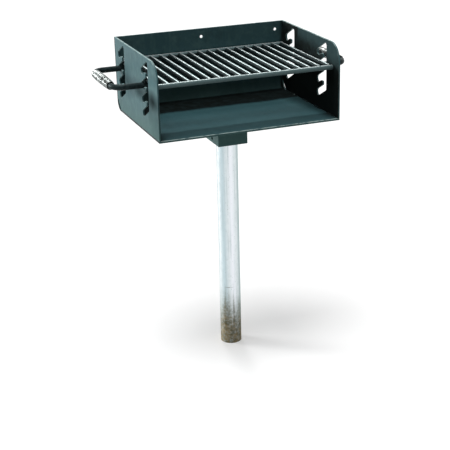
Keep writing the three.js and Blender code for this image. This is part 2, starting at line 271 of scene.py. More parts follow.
# In the values of the finishes, a noise is its scale, detail and roughness, a span is where a ramp starts
# and where it ends, a share is how much of a layer shows, and a line is a slope and a start. Colours are
# linear red, green and blue.

def moved(span, base):
    """A span that is counted from a base, as coordinates in the frame."""
    return [base + end for end in span]


# Paint and its coats. AGED_HEIGHTS are counted from the floor of the firebox.

MOTTLE_NOISE = (46, 8, 0.62)
BASE_NOISE = (7, 6)
BASE_SPAN = (0.32, 0.68)
DEEP_PAINT = (0.044, 0.111, 0.125)
PLAIN_PAINT = (0.056, 0.130, 0.143)
RUN_NOISE = (1, 6, 0.6)
RUN_STRETCH = (75, 75, 8)
RUN_SPAN = (0.48, 0.72)
RUN_SHARE = 0.5
RUN_PAINT = (0.088, 0.174, 0.170)
MOTTLE_SPAN = (0.42, 0.74)
MOTTLE_SHARE = 0.8
MOTTLE_PAINT = (0.086, 0.172, 0.177)
BLOTCH_NOISE = (24, 5, 0.55)
BLOTCH_SPAN = (0.50, 0.68)
BLOTCH_SHARE = 0.45
BLOTCH_PAINT = (0.032, 0.078, 0.086)
AGED_NOISE = (9, 5)
AGED_WANDER = 0.12
AGED_HEIGHTS = (150 * MM, 40 * MM)
AGED_SHARE = 0.55
AGED_PAINT = (0.054, 0.122, 0.106)
LEVEL_SPAN = (0.80, 0.97)
# Painted sky light: faces that look up, the floor of the firebox most of all, are bluer and a little lighter
LEVEL_SKY_TINT_SHARE = 0.65
LEVEL_SKY_TINT = (0.048, 0.136, 0.162)

# Painted shadow of the handles and painted shade beside the slots, on the paint: middle, reach along each
# axis, depth
PAINTED_SHADE_PATCHES = (((0, -0.146, 0.784), (0, 0.075, 0.034), 1.0),
         ((0, -0.165, 0.745), (0, 0.060, 0.085), 0.30),
         ((0, -0.141, 0.786), (0, 0.024, 0.030), 0.7),
         ((0, -0.030, 0.784), (0, 0.055, 0.026), 0.5),
         ((0, -0.120, 0.755), (0, 0.030, 0.045), 0.35),
         ((0, 0.075, 0.790), (0, 0.050, 0.060), 0.35))
PAINTED_SHADE_COLOUR = (0.012, 0.022, 0.023)

# Soot and painted shade inside the firebox. Heights are counted from its floor, depths from its front edge,
# sides from the inner faces of its side panels, and backs from the inner face of its back wall. Places are Y
# in the frame.
INSIDE_SIDES = (1.2 * MM, 0.3 * MM)
INSIDE_BACKS = (PLATE / 2, -MM)
INSIDE_HEIGHTS = (-PLATE / 2, -MM / 2)
RAGGED_HEIGHT_NOISE = (13, 7, 0.6)
RAGGED_HEIGHT_WANDER = 0.05
LOW_WALL_HEIGHTS = (165 * MM, 85 * MM)
LOW_WALL_SHARE = 0.16
WALL_SHARE = 0.34
SIDE_WALL_SIDES = (-12 * MM, 0)
LIGHTER_TOP_SLANT = -0.15
LIGHTER_TOP_HEIGHTS = (170 * MM, 220 * MM)
SIDE_WALL_LINE = (-0.28, 0.64)
RAGGED_DEPTH_NOISE = (19, 6, 0.6)
RAGGED_DEPTH_WANDER = 0.016
REAR_SHADOW_AND_SOOT_PLACES = (61 * MM, 86 * MM)
REAR_SHADOW_AND_SOOT_SHARE = 0.98
FRONT_DEPTHS = (84 * MM, 68 * MM)
FRONT_SHARE = 0.45
BESIDE_WANDER = 0.15
BESIDE_SIDES = (-55 * MM, -5 * MM)
BESIDE_SHARE = 0.62
BEND_BACKS = (-7 * MM, -15 * MM)
SOOT_AND_SHADE_MOTTLE_LINE = (0.3, 0.85)
SOOT_AND_SHADE_COLOUR = (0.009, 0.0125, 0.012)

# Wear and painted highlights, gloss and skin of the paint. The top rim is counted from the top of the
# firebox, and the ends of its sheet from its outer sides.
WELD_WEAR_SPAN = (0.5, 0.8)
WELD_WEAR_SHARE = 0.4
FRONT_RIM_DEPTHS = (7.5 * MM, 4.5 * MM)
FRONT_RIM_SPAN = (0.2, 0.5)
TOP_RIM_HEIGHTS = (-MM, 0)
RIM_WEAR_AND_HIGHLIGHT = 0.7
FRONT_FACE_SPAN = (-0.9, -0.3)
SCUFF_NOISE = (60, 5, 0.6)
SCUFF_SPAN = (0.30, 0.56)
WORN_AND_HIGHLIGHT_COLOUR = (0.40, 0.52, 0.50)
SHEET_END_SIDES = (-0.8 * MM, -0.4 * MM)
SHEET_END_COLOUR = (0.016, 0.026, 0.027)
PAINT_GLOSS_LINE = (0.18, 0.46)
SOOT_AND_SHADE_DULLING = 0.22
SHADE_PATCH_DULLING = 0.3
PAINT_SHINE_LINE = (-0.13, 0.15)
SHADE_PATCH_SHINE_LINE = (-0.9, 1.0)
GRAIN_NOISE = (420, 3)
GRAIN_HEIGHT = 0.10 * MM
GRAIN_STRENGTH = 0.5
DIMPLE_NOISE = (120, 5, 0.6)
DIMPLE_HEIGHT = 0.30 * MM
DIMPLE_STRENGTH = 0.45


def coats_of_paint(f, z, mottle, level):
    """The paint under the sooting, the rubbing and the painted shade inside, with its painted sky tint and
    painted shadow by the slots, and how deep that painted shadow is.
    """
    paint = f.mix(f.ramp(f.noise(*BASE_NOISE), *BASE_SPAN), DEEP_PAINT, PLAIN_PAINT)
    runs = f.noise(*RUN_NOISE, stretch=RUN_STRETCH)
    paint = f.coat(paint, f.ramp(runs, *RUN_SPAN), RUN_SHARE, RUN_PAINT)
    paint = f.coat(paint, f.ramp(mottle, *MOTTLE_SPAN), MOTTLE_SHARE, MOTTLE_PAINT)
    paint = f.coat(paint, f.ramp(f.noise(*BLOTCH_NOISE), *BLOTCH_SPAN), BLOTCH_SHARE, BLOTCH_PAINT)
    aged = f.ramp(f.line(f.noise(*AGED_NOISE), AGED_WANDER, z), *moved(AGED_HEIGHTS, FLOOR_TOP))
    paint = f.coat(paint, aged, AGED_SHARE, AGED_PAINT)
    # Painted sky light on faces that look up
    paint = f.coat(paint, level, LEVEL_SKY_TINT_SHARE, LEVEL_SKY_TINT)
    shade_patched = 0.0
    # Painted shadow of the handles on the panels, and painted shade beside the slots
    for middle, reach, depth in PAINTED_SHADE_PATCHES:
        patch = f.times(f.patch(middle, reach), depth)
        shade_patched = f.most(patch, shade_patched)
        paint = f.mix(patch, paint, PAINTED_SHADE_COLOUR)
    return paint, shade_patched


def soot_and_painted_shade_inside(f, across, y, z, mottle, level):
    """How sooty the inside of the firebox is, with its painted shade and shadow laid in, and 0 outside it."""
    within = f.times(f.ramp(across, *moved(INSIDE_SIDES, SIDE_INSIDE)),
                     f.ramp(y, *moved(INSIDE_BACKS, BACK_INSIDE)))
    within = f.times(within, f.ramp(z, *moved(INSIDE_HEIGHTS, FLOOR_TOP)))

    ragged_height = f.line(f.noise(*RAGGED_HEIGHT_NOISE), RAGGED_HEIGHT_WANDER, z)
    # Painted shade low on the walls, under the grate, laid with soot
    low = f.ramp(ragged_height, *moved(LOW_WALL_HEIGHTS, FLOOR_TOP))
    # Painted shade on the side walls, lighter towards their tops
    side = f.ramp(across, *moved(SIDE_WALL_SIDES, SIDE_INSIDE))
    lighter_top = f.ramp(f.line(y, LIGHTER_TOP_SLANT, ragged_height), *moved(LIGHTER_TOP_HEIGHTS, FLOOR_TOP))
    side = f.times(side, f.line(lighter_top, *SIDE_WALL_LINE))
    # Soot on every wall, with the painted shade added
    wall = f.line(low, LOW_WALL_SHARE, f.maths("ADD", side, WALL_SHARE))

    ragged_depth = f.line(f.noise(*RAGGED_DEPTH_NOISE), RAGGED_DEPTH_WANDER, y)
    # Painted shadow of the back wall, with soot, across the rear of the floor
    rear_shadow_and_soot = f.times(f.ramp(ragged_depth, *REAR_SHADOW_AND_SOOT_PLACES), REAR_SHADOW_AND_SOOT_SHARE)
    front = f.ramp(ragged_depth, *moved(FRONT_DEPTHS, PAN_LOW.y))
    # Painted shade on the floor along the side walls
    beside = f.ramp(f.line(ragged_depth, BESIDE_WANDER, across), *moved(BESIDE_SIDES, SIDE_INSIDE))
    floor = f.most(f.line(front, FRONT_SHARE, f.times(beside, BESIDE_SHARE)), rear_shadow_and_soot)
    # The rear painted shadow and soot run up the bend into the back wall
    bend = f.ramp(y, *moved(BEND_BACKS, BACK_INSIDE))
    wall = f.most(wall, f.times(bend, rear_shadow_and_soot))

    soot_and_shade = f.add("ShaderNodeMix", A=wall, B=floor, Factor=level)
    soot_and_shade = f.times(soot_and_shade, f.line(mottle, *SOOT_AND_SHADE_MOTTLE_LINE), clamp=True)
    return f.times(soot_and_shade, within)


def wear_and_highlight_at_edges(f, y, z, ny, nz):
    """How bare the steel is at the rims and edges, with a painted highlight laid in, and none on faces that
    look to the front, which lie in shade.
    """
    # Painted highlight with rubbing along the top of the floor's front edge, and on the top rim
    front_rim = f.times(f.ramp(y, *moved(FRONT_RIM_DEPTHS, PAN_LOW.y)), f.ramp(nz, *FRONT_RIM_SPAN))
    rim = f.most(front_rim, f.ramp(z, *moved(TOP_RIM_HEIGHTS, PAN_HIGH.z)))
    edge = f.most(f.wear_and_light(), f.times(rim, RIM_WEAR_AND_HIGHLIGHT))
    # None on faces that look to the front, which stay dark in shade
    edge = f.times(edge, f.ramp(ny, *FRONT_FACE_SPAN))
    return f.times(edge, f.ramp(f.noise(*SCUFF_NOISE), *SCUFF_SPAN))


def painted_steel(name, welded=False, dark_ends=False):
    """Weathered dark teal paint: sooty where the fire burns, painted shade inside the firebox, a painted
    shadow of the handles by the slots, rubbed edges with painted highlights, and a painted sky tint on faces
    that look up.
    """
    f = Finish(name)
    x, y, z = f.axes(f.place)
    _, ny, nz = f.axes(f.facing)
    across = f.maths("ABSOLUTE", x)
    mottle = f.noise(*MOTTLE_NOISE)
    level = f.ramp(nz, *LEVEL_SPAN)
    paint, shade_patched = coats_of_paint(f, z, mottle, level)
    soot_and_shade = soot_and_painted_shade_inside(f, across, y, z, mottle, level)
    # Soot and painted shade inside the firebox
    colour = f.mix(soot_and_shade, paint, SOOT_AND_SHADE_COLOUR)
    if welded:
        wear_and_highlight = f.times(f.ramp(mottle, *WELD_WEAR_SPAN), WELD_WEAR_SHARE)
    else:
        wear_and_highlight = wear_and_highlight_at_edges(f, y, z, ny, nz)
    # Bright edges: rubbing and painted highlights
    colour = f.mix(wear_and_highlight, colour, WORN_AND_HIGHLIGHT_COLOUR)
    if dark_ends:
        colour = f.mix(f.ramp(across, *moved(SHEET_END_SIDES, PAN_HIGH.x)), colour, SHEET_END_COLOUR)
    gloss = f.line(soot_and_shade, SOOT_AND_SHADE_DULLING, f.line(mottle, *PAINT_GLOSS_LINE))
    gloss = f.line(shade_patched, SHADE_PATCH_DULLING, gloss, clamp=True)
    shine = f.times(f.line(soot_and_shade, *PAINT_SHINE_LINE), f.line(shade_patched, *SHADE_PATCH_SHINE_LINE))
    skin = f.bump(f.noise(*GRAIN_NOISE), GRAIN_HEIGHT, GRAIN_STRENGTH)
    skin = f.bump(f.noise(*DIMPLE_NOISE), DIMPLE_HEIGHT, DIMPLE_STRENGTH, skin)
    return f.surface(Base_Color=colour, Roughness=gloss, Normal=skin, Specular_IOR_Level=shine)


# Bar stock

SCALE_NOISE = (130, 7, 0.65)
SCALE_SPAN = (0.35, 0.7)
BLACK_SCALE = (0.005, 0.009, 0.010)
GREY_SCALE = (0.018, 0.029, 0.031)
SCALE_HEIGHT = 0.22 * MM
SCALE_STRENGTH = 0.35
PALE_REFLECTION_LINE = (0.4, 0.6)
PALE_REFLECTION_COLOUR = (0.10, 0.15, 0.155)
SCRAPED_HIGHLIGHT_NOISE = (1, 5, 0.6)
SCRAPED_HIGHLIGHT_STRETCH = (240, 22, 240)
SCRAPED_HIGHLIGHT_SPAN = (0.24, 0.46)
BAR_TOP_SPAN = (0.895, 0.955)
SCRAPED_HIGHLIGHT_COLOUR = (0.74, 0.80, 0.80)
BAR_GLOSS_LINE = (0.22, 0.30)
BAR_METAL_LINE = (0.90, 0.05)
BAR_SHINE_LINE = (0.2, 0.12)
BAR_TINT = (0.68, 1.0, 1.0)


def grate_steel(name, scraped_highlight_share=1.0, pale_reflection=0.0):
    """Black, seasoned bar stock with bright scrapes along the top, which also carry a painted highlight. A
    pale reflection share paints the bar paler, a painted reflection of the floor below it, and raises its
    specular level.
    """
    f = Finish(name)
    nz = f.axes(f.facing)[2]
    scale = f.noise(*SCALE_NOISE)
    colour = f.mix(f.ramp(scale, *SCALE_SPAN), BLACK_SCALE, GREY_SCALE)
    # Paler crossbars: a painted reflection of the floor
    colour = f.mix(f.line(scale, *(pale_reflection * part for part in PALE_REFLECTION_LINE)), colour, PALE_REFLECTION_COLOUR)
    streak = f.noise(*SCRAPED_HIGHLIGHT_NOISE, stretch=SCRAPED_HIGHLIGHT_STRETCH)
    # A painted highlight along the tops of the bars, laid as bright scrapes
    scraped_highlight = f.times(f.times(f.ramp(nz, *BAR_TOP_SPAN), f.ramp(streak, *SCRAPED_HIGHLIGHT_SPAN)), scraped_highlight_share)
    colour = f.mix(scraped_highlight, colour, SCRAPED_HIGHLIGHT_COLOUR)
    skin = f.bump(scale, SCALE_HEIGHT, SCALE_STRENGTH)
    slope, start = BAR_SHINE_LINE
    return f.surface(Base_Color=colour, Metallic=f.line(scraped_highlight, *BAR_METAL_LINE),
                     Roughness=f.line(scale, *BAR_GLOSS_LINE), Normal=skin,
                     Specular_IOR_Level=slope * pale_reflection + start, Specular_Tint=BAR_TINT)


# Galvanised pipe. Angles are in degrees round the pipe from its front, and heights are above the ground.

ZINC_TONE_STRETCH = (1, 1, 0.6)
ZINC_TONE_SCALE = 140.0
DARK_ZINC = (0.69, 0.76, 0.78)
PALE_ZINC = (0.78, 0.84, 0.86)
# Painted reflections: dull and bright bands down the pipe: angle, reach, share and colour
PAINTED_REFLECTION_BANDS = ((-50, 30, 0.65, (0.42, 0.56, 0.61)),
              (-106, 24, 0.9, (0.36, 0.42, 0.42)),
              (-2, 24, 0.85, (0.90, 0.93, 0.98)),
              (52, 30, 0.85, (0.30, 0.42, 0.42)))
BAND_NOISE = (9, 3)
BAND_WANDER = 0.25
STREAK_NOISE = (1, 7, 0.62)
STREAK_STRETCH = (170, 170, 4)
STREAK_SPAN = (0.50, 0.66)
STREAK_SHARE = 0.55
STREAK_COLOUR = (0.44, 0.53, 0.55)
STREAK_HEIGHT = 0.15 * MM
STREAK_STRENGTH = 0.25
SPECK_NOISE = (260, 3, 0.5)
SPECK_SPAN = (0.66, 0.72)
SPECK_SHARE = 0.55
SPECK_COLOUR = (0.30, 0.35, 0.35)
SCRATCH_HEIGHT = 178 * MM
SCRATCH_FADE = (1.1 * MM, 0.4 * MM)
SCRATCH_BAND = (-29, 34)
SCRATCH_NOISE = (150, 2)
SCRATCH_SPAN = (0.30, 0.45)
SCRATCH_COLOUR = (0.18, 0.20, 0.20)

# Damp and soil at the foot of the pipe
SPLASH_NOISE = (1, 7, 0.65)
SPLASH_STRETCH = (190, 190, 7)
SPLASH_WANDER = 0.15
SPLASH_BAND = (-48, 34)
SPLASH_BAND_RISE = -0.028
DAMP_HEIGHTS = (0.245, 0.160)
SOIL_HEIGHTS = (0.200, 0.095)
GRIME_NOISE = (120, 8, 0.72)
GRIME_HEIGHT = 0.2 * MM
GRIME_STRENGTH = 0.15
DAMP_GRIME_SPAN = (0.35, 0.60)
DAMP_GRIME_LINE = (0.45, 0.42)
SOIL_GRIME_SPAN = (0.32, 0.62)
SOIL_GRIME_LINE = (0.52, 0.44)
DAMP_COLOUR = (0.26, 0.29, 0.25)
EARTH_NOISE = (70, 5)
EARTH_SPAN = (0.35, 0.65)
DARK_EARTH = (0.11, 0.098, 0.042)
PALE_EARTH = (0.31, 0.235, 0.11)
ZINC_GLOSS_LINE = (0.10, 0.36)
DAMP_DULLING = 0.35
DAMP_METAL_LINE = (-0.25, 0.85)
SOIL_METAL_SLOPE = -0.45


def galvanised_steel(name):
    """Hot-dip zinc: spangle, painted reflections as dull and bright bands down the pipe, a scratch, and soil
    at the foot.
    """
    f = Finish(name)
    x, y, z = f.axes(f.place)
    around = f.maths("ARCTAN2", x, f.times(y, -1.0))
    around = f.line(f.noise(*BAND_NOISE), BAND_WANDER, around)

    def band(angle, reach):
        """1 along one side of the pipe, at an angle round it from the front, and 0 away from it."""
        off = f.maths("ABSOLUTE", f.maths("SUBTRACT", around, math.radians(angle) + BAND_WANDER / 2))
        return f.ramp(off, math.radians(reach), 0.0)

    spangle = f.add("ShaderNodeMapping", Vector=f.place, Scale=ZINC_TONE_STRETCH)
    spangle = f.add("ShaderNodeTexVoronoi", Vector=spangle, Scale=ZINC_TONE_SCALE)
    tone = f.axes(spangle.node.outputs["Color"])[0]
    streaks = f.noise(*STREAK_NOISE, stretch=STREAK_STRETCH)
    zinc = f.mix(tone, DARK_ZINC, PALE_ZINC)
    # Painted reflections: bright and dark bands fixed round the pipe
    for angle, reach, share, colour in PAINTED_REFLECTION_BANDS:
        zinc = f.coat(zinc, band(angle, reach), share, colour)
    zinc = f.coat(zinc, f.ramp(streaks, *STREAK_SPAN), STREAK_SHARE, STREAK_COLOUR)
    zinc = f.coat(zinc, f.ramp(f.noise(*SPECK_NOISE), *SPECK_SPAN), SPECK_SHARE, SPECK_COLOUR)
    scratch = f.ramp(f.maths("ABSOLUTE", f.maths("SUBTRACT", z, SCRATCH_HEIGHT)), *SCRATCH_FADE)
    scratch = f.times(scratch, band(*SCRATCH_BAND))
    scratch = f.times(scratch, f.ramp(f.noise(*SCRATCH_NOISE), *SCRATCH_SPAN))
    zinc = f.mix(scratch, zinc, SCRATCH_COLOUR)

    ragged = f.line(f.noise(*SPLASH_NOISE, stretch=SPLASH_STRETCH), SPLASH_WANDER, z)
    ragged = f.line(band(*SPLASH_BAND), SPLASH_BAND_RISE, ragged)
    grime = f.noise(*GRIME_NOISE)
    damp = f.times(f.ramp(ragged, *DAMP_HEIGHTS), f.line(f.ramp(grime, *DAMP_GRIME_SPAN), *DAMP_GRIME_LINE))
    soil = f.times(f.ramp(ragged, *SOIL_HEIGHTS), f.line(f.ramp(grime, *SOIL_GRIME_SPAN), *SOIL_GRIME_LINE))
    earth = f.mix(f.ramp(f.noise(*EARTH_NOISE), *EARTH_SPAN), DARK_EARTH, PALE_EARTH)
    colour = f.mix(soil, f.mix(damp, zinc, DAMP_COLOUR), earth)
    gloss = f.line(damp, DAMP_DULLING, f.line(tone, *ZINC_GLOSS_LINE), clamp=True)
    metal = f.line(soil, SOIL_METAL_SLOPE, f.line(damp, *DAMP_METAL_LINE), clamp=True)
    skin = f.bump(streaks, STREAK_HEIGHT, STREAK_STRENGTH)
    skin = f.bump(grime, GRIME_HEIGHT, GRIME_STRENGTH, skin)
    return f.surface(Base_Color=colour, Metallic=metal, Roughness=gloss, Normal=skin)


# Spring wire and pin

HAZE_NOISE = (90, 5, 0.6)
HAZE_SPAN = (0.42, 0.58)
HAZE_HEIGHT = 0.1 * MM
HAZE_STRENGTH = 0.2
BRIGHT_NICKEL = (0.46, 0.50, 0.49)
DULL_NICKEL = (0.12, 0.13, 0.125)
WIRE_CREST_SPAN = (0.58, 0.94)
WIRE_PAINTED_SHADE = (0.045, 0.050, 0.050)
WIRE_GLOSS_LINE = (0.25, 0.10)
TURNING_NOISE = (1, 3, 0.5)
TURNING_STRETCH = (900, 30, 30)
DARK_PIN = (0.30, 0.31, 0.32)
PALE_PIN = (0.48, 0.49, 0.50)
PIN_GLOSS_LINE = (0.2, 0.3)


def bright_wire(name):
    """Nickel-plated spring wire, dulled in patches, with painted shade where the wire faces in between its
    turns and towards the rod.
    """
    f = Finish(name)
    haze = f.noise(*HAZE_NOISE)
    crest = f.ramp(f.wear_and_light(), *WIRE_CREST_SPAN)
    nickel = f.mix(f.ramp(haze, *HAZE_SPAN), BRIGHT_NICKEL, DULL_NICKEL)
    skin = f.bump(haze, HAZE_HEIGHT, HAZE_STRENGTH)
    # Painted shade on the wire where it faces in between the turns
    return f.surface(Base_Color=f.mix(crest, WIRE_PAINTED_SHADE, nickel), Metallic=1.0,
                     Roughness=f.line(haze, *WIRE_GLOSS_LINE), Normal=skin)


def plain_steel(name):
    """Turned steel, with fine rings round it."""
    f = Finish(name)
    turning = f.noise(*TURNING_NOISE, stretch=TURNING_STRETCH)
    colour = f.mix(turning, DARK_PIN, PALE_PIN)
    return f.surface(Base_Color=colour, Metallic=1.0, Roughness=f.line(turning, *PIN_GLOSS_LINE))


PAINT = painted_steel("painted_steel")
PAINTED_SHEET = painted_steel("painted_sheet", dark_ends=True)
PAINTED_WELD = painted_steel("painted_weld", welded=True)
BAR_STEEL = grate_steel("grate_steel")
HANDLE_STEEL = grate_steel("handle_steel", scraped_highlight_share=0.0)
CROSSBAR_STEEL = grate_steel("crossbar_steel", pale_reflection=1.0)
ZINC = galvanised_steel("galvanised_steel")
WIRE = bright_wire("nickel_wire")
PIN_STEEL = plain_steel("pin_steel")


# Pieces

def add_piece(name, mesh, material, body, slot, *nodes, fold=PLATE_FOLD, flat=False):
    """Puts a mesh in the scene on its body, in place of the CAD nodes that it stands for.

    On a flat piece the broad faces keep their own normals and only the roundings are blended.
    """
    mesh.name = name
    mesh.materials.clear()
    mesh.materials.append(material)
    mesh.shade_smooth()
    mesh.set_sharp_from_angle(angle=math.radians(fold))
    piece = bpy.data.objects.new(name, mesh)
    bpy.context.scene.collection.objects.link(piece)
    if flat:
        piece.modifiers.new("flat_faces", "WEIGHTED_NORMAL").keep_sharp = True
    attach(piece, body)
    if nodes:
        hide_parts(*nodes)


def new_bmesh():
    """An empty mesh whose vertices can carry a share from 0 to 1 of rubbing and painted light on their edge
    or wire.
    """
    bm = bmesh.new()
    bm.verts.layers.float.new(WEAR_AND_LIGHT)
    return bm


def mesh_from(bm):
    bmesh.ops.recalc_face_normals(bm, faces=bm.faces)
    mesh = bpy.data.meshes.new("mesh")
    bm.to_mesh(mesh)
    bm.free()
    return mesh


def add_ring(bm, points, wear_and_light=0.0):
    """Adds vertices that all carry one share of rubbing and painted light, or each its own share from a list.
    """
    layer = bm.verts.layers.float[WEAR_AND_LIGHT]
    ring = [bm.verts.new(point) for point in points]
    for vert, amount in zip(ring, wear_and_light if isinstance(wear_and_light, list) else [wear_and_light] * len(ring)):
        vert[layer] = amount
    return ring


def bridge(bm, first, second):
    """Joins two rings with as many vertices by a band of faces."""
    count = len(first)
    for index in range(count):
        after = (index + 1) % count
        bm.faces.new((first[index], first[after], second[after], second[index]))


def turns_of(sides):
    """Angles all the way round, evenly spaced."""
    return [FULL_TURN * side / sides for side in range(sides)]


def sweep(bm, points, ups, radii, sides):
    """Adds a round tube through the points, with its own radius at each, whose share of rubbing and painted
    light is highest on the side that is up.
    """
    last = len(points) - 1
    turns = turns_of(sides)
    wear_and_light = [(1 + math.cos(turn)) / 2 for turn in turns]
    rings = []
    for index, (point, up, radius) in enumerate(zip(points, ups, radii)):
        along = (points[min(index + 1, last)] - points[max(index - 1, 0)]).normalized()
        across = along.cross(up).normalized()
        upright = across.cross(along)
        ring = [point + radius * (math.cos(turn) * upright + math.sin(turn) * across) for turn in turns]
        rings.append(add_ring(bm, ring, wear_and_light))
    for first, second in zip(rings, rings[1:]):
        bridge(bm, first, second)
    bm.faces.new(reversed(rings[0]))
    bm.faces.new(rings[-1])


# Plates, cut to the outlines of their nodes

def face_loops(node, axis, value):
    """The outlines of the flat face of a node that lies at a value along an axis, as lists of points."""
    bm = bmesh.new()
    bm.from_mesh(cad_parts[node].data)
    bmesh.ops.remove_doubles(bm, verts=bm.verts, dist=SAME_POINT)
    flat = {face for face in bm.faces if all(abs(vert.co[axis] - value) < FLAT_WITHIN for vert in face.verts)}
    rim = [edge for edge in bm.edges if sum(face in flat for face in edge.link_faces) == 1]
    follow = {}
    for edge in rim:
        for vert in edge.verts:
            follow.setdefault(vert, []).append(edge)
    loops = []
    left = set(rim)
    for first in rim:
        if first not in left:
            continue
        left.remove(first)
        start, vert = first.verts
        loop = [start.co.copy()]
        while vert != start:
            loop.append(vert.co.copy())
            edge = next(other for other in follow[vert] if other in left)
            left.remove(edge)
            vert = edge.other_vert(vert)
        loops.append(loop)
    bm.free()
    return loops


def signed_area(loop):
    return sum(a[0] * b[1] - b[0] * a[1] for a, b in zip(loop, loop[1:] + loop[:1])) / 2


def corners_of(loop):
    """Each point of a closed outline, between the point before it and the point after it."""
    before, after = loop[-1:] + loop[:-1], loop[1:] + loop[:1]
    return [[Vector(point) for point in three] for three in zip(before, loop, after)]


def inset(loop, distance):
    """The outline moved into the material, which lies on its left, by a distance.

    MITRE_LIMIT keeps the point of a sharp corner from moving much further than its sides.
    """
    moved_in = []
    for before, here, after in corners_of(loop):
        first = (here - before).normalized()
        second = (after - here).normalized()
        inward = Vector((-first.y, first.x)) + Vector((-second.y, second.x))
        moved_in.append(here + inward * (distance * 2 / max(inward.length_squared, MITRE_LIMIT)))
    return moved_in


def blunted(loop):
    """The outline with an arc in place of each sharp corner that stands out of the material on its left."""
    blunt = []
    for before, here, after in corners_of(loop):
        arriving, leaving = here - before, after - here
        turn = -arriving.angle_signed(leaving, 0)
        cut = CORNER_ROUNDING * math.tan(abs(turn) / 2)
        if turn < math.radians(SHARP_CORNER) or cut > min(arriving.length, leaving.length) / 2:
            blunt.append(here)
            continue
        start = here - arriving.normalized() * cut
        inward = Vector((-arriving.y, arriving.x)).normalized() * CORNER_ROUNDING
        steps = math.ceil(math.degrees(turn) / CORNER_STEP)
        for step in range(steps + 1):
            blunt.append(start + inward - Matrix.Rotation(turn * step / steps, 2) @ inward)
    return blunt


def rounded_plate(node, axis, face_wear_and_highlight=CUT_FACE_WEAR_AND_HIGHLIGHT):
    """A node that is one outline pulled along an axis, made again with every edge rounded.

    The pulled faces carry as much rubbing and painted highlight as face_wear_and_highlight says: they are cut
    edges on a flat plate, and broad on bent stock.
    """
    low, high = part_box(node)
    u, v = [other for other in range(3) if other != axis]

    def in_place(point, height):
        placed = Vector((0, 0, 0))
        placed[u], placed[v], placed[axis] = point[0], point[1], height
        return placed

    loops = [[(point[u], point[v]) for point in loop] for loop in face_loops(node, axis, low[axis])]
    loops.sort(key=lambda loop: -abs(signed_area(loop)))
    loops = [loop if (signed_area(loop) > 0) == (index == 0) else loop[::-1]
             for index, loop in enumerate(loops)]
    loops = [blunted(loop) for loop in loops]
    profile = []
    for step in range(EDGE_STEPS + 1):
        turn = QUARTER * step / EDGE_STEPS
        profile.append((EDGE_ROUNDING * (1 - math.sin(turn)),
                        low[axis] + EDGE_ROUNDING * (1 - math.cos(turn)),
                        face_wear_and_highlight * math.sin(turn) + (1 - CUT_FACE_WEAR_AND_HIGHLIGHT) * math.sin(2 * turn)))
    profile += [(depth, low[axis] + high[axis] - height, wear_and_light) for depth, height, wear_and_light in reversed(profile)]
    bm = new_bmesh()
    ends = ([], [])
    for loop in loops:
        rings = [add_ring(bm, [in_place(point, height) for point in inset(loop, depth)], wear_and_light)
                 for depth, height, wear_and_light in profile]
        for first, second in zip(rings, rings[1:]):
            bridge(bm, first, second)
        for end, ring in zip(ends, (rings[0], rings[-1])):
            end.extend(bm.edges.get((ring[index - 1], ring[index])) for index in range(len(ring)))
    for edges in ends:
        bmesh.ops.triangle_fill(bm, use_beauty=True, edges=edges)
    return mesh_from(bm)


def drill_through(mesh, places, axis, radius, length):
    """Cuts round holes with chamfered mouths through a plate, and returns the cut mesh."""
    turn = {"x": Matrix.Rotation(QUARTER, 4, "Y"), "y": Matrix.Rotation(QUARTER, 4, "X")}[axis]
    half = length / 2
    profile = [(radius + HOLE_CHAMFER + DRILL_OVERRUN, -half - DRILL_OVERRUN),
               (radius, HOLE_CHAMFER - half),
               (radius, half - HOLE_CHAMFER),
               (radius + HOLE_CHAMFER + DRILL_OVERRUN, half + DRILL_OVERRUN)]
    bm = new_bmesh()
    for place in places:
        rings = []
        for distance, height in profile:
            points = [Vector((distance * math.cos(angle), distance * math.sin(angle), height))
                      for angle in turns_of(DRILL_SIDES)]
            rings.append(add_ring(bm, [Vector(place) + turn @ point for point in points]))
        for first, second in zip(rings, rings[1:]):
            bridge(bm, first, second)
        bm.faces.new(rings[0])
        bm.faces.new(rings[-1])
    plate = bpy.data.objects.new("plate", mesh)
    drill = bpy.data.objects.new("drill", mesh_from(bm))
    for thing in (plate, drill):
        bpy.context.scene.collection.objects.link(thing)
    cut = plate.modifiers.new("cut", "BOOLEAN")
    cut.operation = "DIFFERENCE"
    cut.solver = "EXACT"
    cut.object = drill
    result = bpy.data.meshes.new_from_object(plate.evaluated_get(bpy.context.evaluated_depsgraph_get()))
    for thing in (plate, drill):
        bpy.data.objects.remove(thing)
    return result


def make_firebox():
    pan = rounded_plate("firebox_pan", 0, face_wear_and_highlight=0)
    hole_x = PAN_HIGH.x - BACK_HOLE_INSET
    holes = [(side * hole_x, PAN_HIGH.y - PLATE / 2, PAN_HIGH.z - BACK_HOLE_DROP) for side in (-1, 0, 1)]
    pan = drill_through(pan, holes, "y", BACK_HOLE_RADIUS, PLATE)
    add_piece("firebox_sheet", pan, PAINTED_SHEET, "firebox", "painted_steel", "firebox_pan", flat=True)
    for side in ("left", "right"):
        node = f"side_panel_{side}"
        panel = rounded_plate(node, 0)
        add_piece(f"side_plate_{side}", panel, PAINT, "firebox", "painted_steel", node, flat=True)


def make_socket():
    sleeve = rounded_plate("socket_sleeve", 2, face_wear_and_highlight=0)
    low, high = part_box("socket_sleeve")
    pin_height = centre("retaining_pin").z
    holes = [(x, 0, pin_height) for x in (low.x + PLATE / 2, high.x - PLATE / 2)]
    sleeve = drill_through(sleeve, holes, "x", ACCESS_HOLE_RADIUS, PLATE)
    add_piece("socket_tube", sleeve, PAINT, "firebox", "painted_steel", "socket_sleeve", flat=True)
    plate = rounded_plate("socket_bottom_plate", 2)
    add_piece("socket_closing_plate", plate, PAINT, "firebox", "painted_steel", "socket_bottom_plate",
              flat=True)


# Rods

